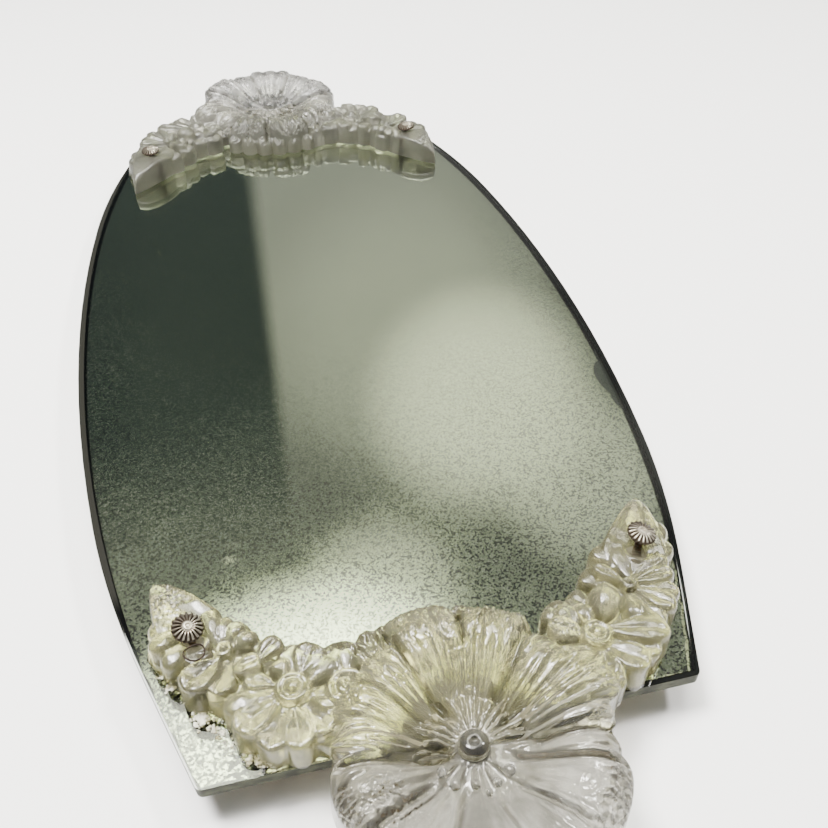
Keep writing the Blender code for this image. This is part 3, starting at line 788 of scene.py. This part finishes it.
def moulding_material(name, tints, haze):
    """Clear moulded resin. It is yellower where it lies over the plate, as painted reflection of the silver,
    and darker where it overhangs, as painted shade. Its grooves hold painted shade, and the dome of its big
    flower has a painted dark reflection.
    """
    thin_end, milky_end, thin_middle, milky_middle = tints
    made, shader, place = node_material(name)
    x, y, _ = split_xyz(place)
    from_middle = from_axis(x, y)
    over_plate = ramp(y, -0.006, 0.014)
    clouds = ramp(noise_node(place, 75, 3), 0.35, 0.65)
    # Painted shade and painted reflection: greyer and darker where it overhangs, yellower over the plate.
    thin = mix_colour(over_plate, thin_end, thin_middle)
    milky = mix_colour(over_plate, milky_end, milky_middle)
    colour = mix_colour(clouds, thin, milky)
    # Painted shade: darker in the deeper grooves and valleys, from each point's groove depth.
    groove_shade = new_node(place, "ShaderNodeAttribute")
    groove_shade.attribute_name = "groove_shade"
    groove_darkening = product(ramp(groove_shade.outputs["Fac"], 1.2, 4.4), between(clouds, 0.85, 0.55))
    colour = mix_colour(groove_darkening, colour, GROOVE_SHADE_COLOUR)
    # Painted dark reflection on the dome.
    button = ramp(from_middle, 1.06 * DOME_RADIUS * MM, 0.9 * DOME_RADIUS * MM)
    feed(mix_colour(button, colour, DOME_REFLECTION_COLOUR), shader, "Base Color")
    dull_rim = ramp(from_middle, 0.045, 0.062)
    glossy = ramp_to(noise_node(place, 160), 0.3, 0.7, 0.07 + haze, 0.18 + haze)
    rough = math_node("ADD", glossy, product(dull_rim, 0.09))
    feed(rough, shader, "Roughness")
    bowl = product(over_plate, ramp(from_middle, 0.020, 0.013))
    fan = product(over_plate, ramp(from_middle, 0.060, 0.050), between(bowl, 0.3, 1.0))
    feed(between(fan, 0.94, 0.85), shader, "Transmission Weight")
    shader.inputs["IOR"].default_value = 1.49
    bump(shader, noise_node(place, 350), 0.12, 0.0004)
    return made


def glass_material():
    """Clear float glass with a ground edge. The edge is dark green-brown. A thin border inside it is near
    black, as painted shade.

    The border is wider on the left and less dark there than on the right, and the near left has none.
    """
    made, shader, place = node_material("clear_glass")
    x, y, _ = split_xyz(place)
    face = facing_up(place, 0.3, 0.9)
    rightwards = ramp(x, -0.08, 0.08)
    width = between(rightwards, 0.0030, 0.0022)
    border = ramp(math_node("SUBTRACT", plate_inset(x, y), width), 0.0004, -0.0004)
    not_near_left = greatest(rightwards, ramp(y, -0.195, -0.155))
    border = product(border, not_near_left)
    dirt = noise_node(place, 160, 3, (1, 1, 3))
    edge = mix_colour(ramp(dirt, 0.4, 0.65), (0.010, 0.011, 0.006), (0.042, 0.045, 0.026))
    # Painted shade: the border is near black, less dark on the left than on the right.
    rim = mix_colour(rightwards, (0.014, 0.014, 0.0115), (0.003, 0.0034, 0.003))
    clear = mix_colour(ramp(border, 0.0, 0.4), (0.91, 0.95, 0.91), rim)
    feed(mix_colour(face, edge, clear), shader, "Base Color")
    feed(between(face, 0.5, 0.0), shader, "Roughness")
    feed(between(face, 1.0, 0.0), shader, "Metallic")
    feed(ramp(border, 1.0, 0.6), shader, "Transmission Weight")
    shader.inputs["IOR"].default_value = 1.5
    return made


def plate_inset(x, y):
    """How far a place lies inside the plate's outline, in metres."""
    squared = product(y, y)
    swell = math_node("MULTIPLY_ADD", squared, BARREL_FOURTH, BARREL_SECOND)
    half_width = math_node("SUBTRACT", BARREL_HALF_WIDTH, product(squared, swell))
    from_side = math_node("SUBTRACT", half_width, math_node("ABSOLUTE", x))
    from_end = math_node("SUBTRACT", BARREL_HALF_LENGTH, math_node("ABSOLUTE", y))
    return math_node("MINIMUM", from_side, from_end)


def spot(x, y, at, size, softness=0.75):
    """1 at a place on the plate, fading to 0 at size (x, y) from it."""
    across = math_node("DIVIDE", math_node("SUBTRACT", x, at[0]), size[0])
    along = math_node("DIVIDE", math_node("SUBTRACT", y, at[1]), size[1])
    return ramp(sum_of_squares(across, along), 1.0, 1.0 - softness)


def silver_age(y, inset, blotch):
    """How hazy and frosted the silver is, in patches: most at the near end and along the near sides."""
    near_end = ramp(y, 0.04, -0.19)
    near_side = product(ramp(inset, 0.06, 0.01), ramp(y, 0.10, -0.06), 0.5)
    age = between(greatest(near_end, near_side), 0.12, 1.0)
    return product(age, ramp_to(blotch, 0.3, 0.7, 0.55, 1.0))


def silver_grain(x, y, inset, age):
    """How dense the dark specks are: more to the near end and the right, and along the edges."""
    grain = product(ramp(y, 0.05, -0.16), between(age, 0.30, 0.50))
    grain = product(grain, ramp_to(x, 0.0, 0.10, 1.0, 1.9))
    near_edge = product(ramp(inset, 0.045, 0.008), ramp(y, 0.19, 0.04), 0.5)
    near_end = product(ramp(y, -0.145, -0.175), 0.85)
    return greatest(grain, near_edge, near_end)


def silver_bare(x, y, wavy, fine):
    """Where the silver is gone: round its wavy rim, in chips, and in corroded speckles."""
    bare = ramp(wavy, 0.0052, 0.0036)
    for at, size in CHIPS:
        bare = greatest(bare, spot(x, y, at, size, 0.12))
    for at, size, amount in CORRODED:
        speckles = between(ramp(fine, 0.43, 0.57), 0.15, 1)
        bare = greatest(bare, product(spot(x, y, at, size), speckles, amount))
    return bare


def silver_pale(x, y, wavy, fine, ragged):
    """Where the silver has gone pale: in a worn line inside the near right edge, and in marks."""
    line = math_node("ABSOLUTE", math_node("SUBTRACT", wavy, 0.0060))
    pale = product(ramp(line, 0.0007, 0.0002), ramp(y, -0.185, -0.205))
    pale = product(pale, ramp(x, 0.07, 0.085), ramp(ragged, 0.36, 0.46))
    for at, size, amount in PALE_MARKS:
        mark = product(spot(x, y, at, size), ramp(fine, 0.38, 0.55), amount)
        pale = greatest(pale, mark)
    return pale


def silver_material():
    """Old silvering: mirror bright at the far end, and grainy and hazy towards the near end."""
    made, shader, place = node_material("aged_silver")
    x, y, _ = split_xyz(place)
    inset = plate_inset(x, y)
    specks = speck_node(place, 1400)
    fine = noise_node(place, 800)
    blotch = noise_node(place, 24, 4)
    ragged = noise_node(place, 130, 4)
    wavy = math_node("MULTIPLY_ADD", ragged, 0.004, inset)
    age = silver_age(y, inset, blotch)
    grain = silver_grain(x, y, inset, age)
    bare = silver_bare(x, y, wavy, fine)
    pale = silver_pale(x, y, wavy, fine, ragged)

    dark = product(grain, ramp(specks, 0.55, 0.80), 0.95)
    dark = greatest(dark, ramp(bare, 0.0, 0.4))
    frost = product(age, ramp(specks, 0.30, 0.05), 0.18)
    colour = mix_colour(blotch, (0.455, 0.485, 0.35), (0.505, 0.53, 0.385))
    colour = mix_colour(frost, colour, (0.34, 0.41, 0.37))
    colour = mix_colour(pale, colour, (0.33, 0.335, 0.19))
    feed(mix_colour(dark, colour, (0.018, 0.020, 0.016)), shader, "Base Color")
    matt = greatest(ramp(bare, 0.4, 1.0), greatest(pale, frost))
    feed(between(matt, 1.0, 0.0), shader, "Metallic")
    hazy = between(product(age, age, between(specks, 1.0, 0.55)), 0.035, 0.15)
    feed(greatest(hazy, between(matt, 0.0, 0.6)), shader, "Roughness")
    shader.inputs["Specular IOR Level"].default_value = 0.0
    bump(shader, blotch, 0.05, 0.0004)
    return made


def metal_material(name, colours, rough, scale=700):
    """Old metal: dark in patches, bright where it is rubbed, with rust or tarnish between."""
    dark, bright, rust = colours
    made, shader, place = node_material(name)
    patches = noise_node(place, scale, 4)
    tarnish = ramp(patches, 0.48, 0.62)
    colour = mix_colour(ramp(patches, 0.3, 0.55), bright, dark)
    feed(mix_colour(tarnish, colour, rust), shader, "Base Color")
    feed(between(tarnish, 1.0, 0.35), shader, "Metallic")
    feed(ramp_to(patches, 0.35, 0.65, rough, rough + 0.35), shader, "Roughness")
    bump(shader, noise_node(place, scale * 4), 0.3, 0.0001)
    return made


def rosette_material():
    """Tarnished brass cap: its ridges are rubbed bright and the grooves between them are dark. The ridges are
    bright only on its +X side, as a painted highlight, with painted shade on the other side.
    """
    made, shader, place = node_material("rosette_brass")
    x, y, _ = split_xyz(place)
    turn = product(math_node("ARCTAN2", y, x), ROSETTE_FLUTES)
    ridge = ramp(math_node("COSINE", turn), -0.2, 0.8)
    from_middle = from_axis(x, y)
    fluted = ramp(from_middle, 0.27 * ROSETTE_RADIUS * MM, 0.42 * ROSETTE_RADIUS * MM)
    rim = ramp(from_middle, 0.97 * ROSETTE_RADIUS * MM, 0.88 * ROSETTE_RADIUS * MM)
    patches = noise_node(place, 420, 3)
    rubbed = product(ridge, fluted, rim, ramp_to(patches, 0.3, 0.7, 0.55, 1.0))
    # Painted highlight on the +X side, painted shade on the -X side.
    rubbed = product(rubbed, between(ramp(x, -0.0024, 0.0012), 0.12, 1.0))
    rubbed = greatest(rubbed, between(fluted, 0.5, 0.0))
    colour = mix_colour(rubbed, (0.050, 0.038, 0.028), (0.74, 0.69, 0.56))
    feed(colour, shader, "Base Color")
    feed(between(rubbed, 0.55, 0.22), shader, "Roughness")
    shader.inputs["Metallic"].default_value = 0.85
    bump(shader, noise_node(place, 2600), 0.25, 0.0001)
    return made


def felt_material():
    made, shader, place = node_material("grey_felt")
    fibre = noise_node(place, 1400, 5, (1, 0.35, 1))
    clump = ramp(noise_node(place, 180, 3), 0.4, 0.7)
    colour = mix_colour(fibre, (0.07, 0.07, 0.068), (0.24, 0.235, 0.22))
    feed(mix_colour(clump, colour, (0.15, 0.145, 0.13)), shader, "Base Color")
    shader.inputs["Roughness"].default_value = 0.95
    shader.inputs["Sheen Weight"].default_value = 0.4
    bump(shader, fibre, 0.6, 0.0006)
    return made


def plywood_material():
    """Birch plywood: long grain on its faces, and its plies in stripes along its edges."""
    made, shader, place = node_material("birch_plywood")
    grain = noise_node(place, 190, 5, (1, 0.045, 0.2))
    figure = noise_node(place, 16, 3, (1, 0.25, 1))
    pores = noise_node(place, 1500, 2, (1, 0.06, 1))
    face = mix_colour(ramp(grain, 0.35, 0.68), (0.50, 0.335, 0.185), (0.30, 0.18, 0.09))
    face = mix_colour(ramp(figure, 0.4, 0.75), face, (0.24, 0.145, 0.075))
    plies = math_node("PINGPONG", split_xyz(place)["Z"], PLY_THICKNESS)
    plies = ramp(plies, 0.3 * PLY_THICKNESS, 0.7 * PLY_THICKNESS)
    edge = mix_colour(plies, (0.42, 0.28, 0.15), (0.17, 0.10, 0.05))
    colour = mix_colour(facing_up(place, 0.4, 0.8), edge, face)
    feed(colour, shader, "Base Color")
    feed(ramp_to(grain, 0.3, 0.7, 0.55, 0.8), shader, "Roughness")
    bump(shader, pores, 0.35, 0.0003)
    return made


def rubber_material():
    made, shader, place = node_material("black_rubber")
    dust = ramp(noise_node(place, 260, 4), 0.45, 0.75)
    colour = mix_colour(dust, (0.018, 0.018, 0.018), (0.075, 0.072, 0.066))
    feed(colour, shader, "Base Color")
    feed(between(dust, 0.55, 0.85), shader, "Roughness")
    bump(shader, noise_node(place, 1800), 0.3, 0.0002)
    return made


def crumb_material():
    """Old glue, dried white and yellow."""
    made, shader, place = node_material("dried_glue")
    tone = ramp(noise_node(place, 500, 3), 0.38, 0.62)
    colour = mix_colour(tone, (0.36, 0.33, 0.17), (0.88, 0.86, 0.72))
    feed(colour, shader, "Base Color")
    shader.inputs["Roughness"].default_value = 0.45
    shader.inputs["Transmission Weight"].default_value = 0.25
    bump(shader, noise_node(place, 2400), 0.5, 0.0004)
    return made


def paint(node, material):
    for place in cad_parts[node].material_slots:
        place.material = material


def rosette_mesh():
    """A stamped rosette cap with a flat underside at z = 0: flutes round a small ring and button."""
    steps = ROSETTE_FLUTES * 12
    angle = np.linspace(0, 2 * np.pi, steps, endpoint=False)
    wave = np.cos(ROSETTE_FLUTES * angle)
    ridge = np.sign(wave) * np.abs(wave) ** 0.7
    rings = [(share * np.ones(steps), height * np.ones(steps)) for share, height in ROSETTE_BUTTON]
    for share, height in ROSETTE_FAN:
        swell = smooth_step(0.3, 0.5, share)
        rings.append((share * (1 + 0.03 * wave * (share > 0.9)), height + ROSETTE_RELIEF * ridge * swell))
    rings.append((0.98 * (1 + 0.03 * wave), 0.0 * wave))
    rings.append((0.0 * wave, 0.0 * wave))
    points = []
    for radius, height in rings:
        radius, height = radius * ROSETTE_RADIUS, height * ROSETTE_HEIGHT
        points.append(np.stack([radius * np.cos(angle), radius * np.sin(angle), height], axis=-1))
    faces = []
    for i in range(len(points) - 1):
        for j in range(steps):
            k = (j + 1) % steps
            faces.append((i * steps + j, (i + 1) * steps + j, (i + 1) * steps + k, i * steps + k))
    mesh = bpy.data.meshes.new("rosette")
    mesh.from_pydata(np.concatenate(points) * MM, [], faces)
    work = bmesh.new()
    work.from_mesh(mesh)
    bmesh.ops.remove_doubles(work, verts=work.verts, dist=0.01 * MM)
    work.to_mesh(mesh)
    work.free()
    mesh.shade_smooth()
    mesh.set_sharp_from_angle(angle=math.radians(50))
    return mesh


def rosettes():
    mesh = rosette_mesh()
    mesh.materials.append(rosette_material())
    for (end, side), (lean, towards, spin) in ROSETTE_LEANS.items():
        node = f"rosette_{end}_{side}"
        low, high = (Vector(corner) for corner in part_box(node))
        made = link(f"fluted_rosette_{end}_{side}", mesh)
        axis = Vector((-math.sin(math.radians(towards)), math.cos(math.radians(towards)), 0))
        turn = Matrix.Rotation(math.radians(lean), 4, axis) @ Matrix.Rotation(math.radians(spin), 4, "Z")
        middle = (low + high) / 2
        made.matrix_world = Matrix.Translation((middle.x, middle.y, low.z)) @ turn
        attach(made, BODY)
        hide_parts(node)


def crumbs():
    """Crumbs of old glue along the outer left foot of the near garland."""
    draw = np.random.default_rng(11)
    work = bmesh.new()
    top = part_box("mirror_glass")[1][2]
    middle_y = garland_middle("near")
    for x, y, spread, count, largest in CRUMB_HEAPS:
        for _ in range(count):
            size = largest * draw.uniform(0.3, 1.0) * MM
            at = Vector((x + draw.normal(0, spread), y + draw.normal(0, spread), 0)) * MM
            at += Vector((0, middle_y, top + 0.35 * size))
            made = bmesh.ops.create_icosphere(work, subdivisions=2, radius=size)
            for point in made["verts"]:
                lump = 1 + 0.55 * noise.noise(point.co * (1.6 / size) + at * 900)
                point.co = Vector((point.co.x, point.co.y, 0.75 * point.co.z)) * lump + at
                point.co.z = max(point.co.z, top + 0.02 * MM)
    mesh = bpy.data.meshes.new("glue_crumbs")
    work.to_mesh(mesh)
    work.free()
    mesh.materials.append(crumb_material())
    made = link("glue_crumbs", mesh)
    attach(made, BODY)


def wire_loop():
    """A loop of thin dark wire beside the near left nail."""
    curve = bpy.data.curves.new("wire_loop", "CURVE")
    curve.dimensions = "3D"
    curve.bevel_depth = WIRE_RADIUS * MM
    curve.bevel_resolution = 3
    curve.use_fill_caps = True
    spline = curve.splines.new("POLY")
    angle = np.radians(np.linspace(70, 430, 60))
    x = WIRE_AT[0] + WIRE_LOOP_RADIUS * 1.05 * np.cos(angle)
    y = WIRE_AT[1] + WIRE_LOOP_RADIUS * 0.9 * np.sin(angle)
    z = WIRE_AT[2] + 0.5 * np.sin(2 * angle + 0.6) + 0 * x
    spline.points.add(len(x) - 1)
    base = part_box("garland_near")[0][2]
    for point, px, py, pz in zip(spline.points, x, y, z):
        point.co = (px * MM, garland_middle("near") + py * MM, base + pz * MM, 1)
    curve.materials.append(metal_material("dark_wire", DARK_WIRE, 0.5, 1500))
    made = link("wire_loop", curve)
    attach(made, BODY)


def garland_middle(end):
    """Y of the middle of a garland's big flower."""
    low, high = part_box(f"garland_{end}")
    return low[1] + FLOWER_REACH * MM if end == "near" else high[1] - FLOWER_REACH * MM


def garlands():
    near_mesh = garland_mesh()
    far_mesh = near_mesh.copy()
    near_mesh.materials.append(moulding_material("clear_moulding", NEAR_TINTS, 0.0))
    # The far garland's tints are a darker copy, as painted shade.
    far_mesh.materials.append(moulding_material("clear_moulding_far_shaded", FAR_SHADED_TINTS, 0.15))
    for end, mesh in (("near", near_mesh), ("far", far_mesh)):
        node = f"garland_{end}"
        low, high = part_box(node)
        made = link(f"flower_garland_{end}", mesh)
        turn = Matrix.Rotation(0 if end == "near" else math.pi, 4, "Z")
        made.matrix_world = Matrix.Translation((0, garland_middle(end), low[2])) @ turn
        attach(made, BODY)
        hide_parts(node)


def camera():
    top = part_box("mirror_glass")[1][2]
    data = bpy.data.cameras.new("camera")
    data.lens = CAMERA_LENS
    data.clip_start = 0.01
    made = link("camera", data)
    back = -Vector(CAMERA_FORWARD).normalized()
    up = Vector(CAMERA_UP).normalized()
    right = up.cross(back).normalized()
    turn = Matrix((right, back.cross(right), back)).transposed()
    made.matrix_world = Matrix.Translation(Vector(CAMERA_AT) * MM + Vector((0, 0, top))) @ turn.to_4x4()
    bpy.context.scene.camera = made


def area_light(name, at, towards, side, watts):
    data = bpy.data.lights.new(name, "AREA")
    data.size = side
    data.energy = watts
    data.color = LIGHT_COLOUR
    made = link(name, data)
    made.location = at
    made.rotation_euler = (Vector(towards) - Vector(at)).to_track_quat("-Z", "Y").to_euler()


def one_face(name, corners):
    mesh = bpy.data.meshes.new(name)
    mesh.from_pydata(corners, [], [(0, 1, 2, 3)])
    return link(name, mesh)


def dark_panel():
    """An upright panel for the mirror to reflect. It fades out at its right and its top."""
    away, left, right, top = PANEL_AWAY, PANEL_LEFT, PANEL_RIGHT, PANEL_TOP
    panel = one_face("dark_panel", [(left, away, 0), (right, away, 0), (right, away, top), (left, away, top)])
    made, shader, _ = node_material("dark_panel")
    shader.inputs["Base Color"].default_value = (0, 0, 0, 1)
    shader.inputs["Specular IOR Level"].default_value = 0.0
    shader.inputs["Emission Color"].default_value = (*PANEL_GLOW, 1)
    shader.inputs["Emission Strength"].default_value = 1.0
    x, _, z = split_xyz(new_node(shader, "ShaderNodeNewGeometry").outputs["Position"])
    across = ramp(x, right, right - PANEL_SOFT_SIDE)
    upwards = ramp(z, top, top - PANEL_SOFT_TOP)
    feed(product(across, upwards), shader, "Alpha")
    panel.data.materials.append(made)
    panel.visible_camera = False
    panel.visible_shadow = False


def floor_plane():
    side = FLOOR_HALF_SIDE
    floor = one_face("floor", [(-side, -side, 0), (side, -side, 0), (side, side, 0), (-side, side, 0)])
    made, shader, _ = node_material("floor")
    shader.inputs["Base Color"].default_value = (0.86, 0.86, 0.86, 1)
    shader.inputs["Roughness"].default_value = 0.9
    floor.data.materials.append(made)


def direction(azimuth, elevation):
    """Unit vector; azimuth 0 is +Y and 90 is +X, in degrees."""
    a, e = math.radians(azimuth), math.radians(elevation)
    return (math.sin(a) * math.cos(e), math.cos(a) * math.cos(e), math.sin(e))


def studio_world():
    world = bpy.data.worlds.new("studio")
    world.use_nodes = True
    tree = world.node_tree
    background = tree.nodes["Background"]
    background.inputs["Strength"].default_value = 1.0
    place = tree.nodes.new("ShaderNodeTexCoord")
    colour = WORLD_COLOUR
    for azimuth, elevation, radius, tint, strength in WORLD_PATCHES:
        dot = tree.nodes.new("ShaderNodeVectorMath")
        dot.operation = "DOT_PRODUCT"
        feed(place.outputs["Generated"], dot, 0)
        dot.inputs[1].default_value = direction(azimuth, elevation)
        share = ramp(dot.outputs["Value"], math.cos(math.radians(radius)), 1.0)
        colour = mix_colour(share, colour, [strength * c for c in tint])
    feed(colour, background, "Color")
    bpy.context.scene.world = world


def stage():
    floor_plane()
    studio_world()
    dark_panel()
    for light in LIGHTS:
        area_light(*light)


def finishes():
    """Each carried-over CAD node gets the finish of its kind, by the start of its name."""
    steel = metal_material("rusted_steel", RUSTED_STEEL, 0.45, 900)
    by_start = {
        "mirror_glass": glass_material(),
        "silvering": silver_material(),
        "felt": felt_material(),
        "backing": plywood_material(),
        "bumper": rubber_material(),
        "nail": steel,
        "hanger_screw": steel,
        "hanger": metal_material("tarnished_brass", TARNISHED_BRASS, 0.22),
    }
    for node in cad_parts:
        for start, finish in by_start.items():
            if node.startswith(start):
                paint(node, finish)
                break


def main():
    camera()
    stage()
    garlands()
    finishes()
    rosettes()
    crumbs()
    wire_loop()


main()
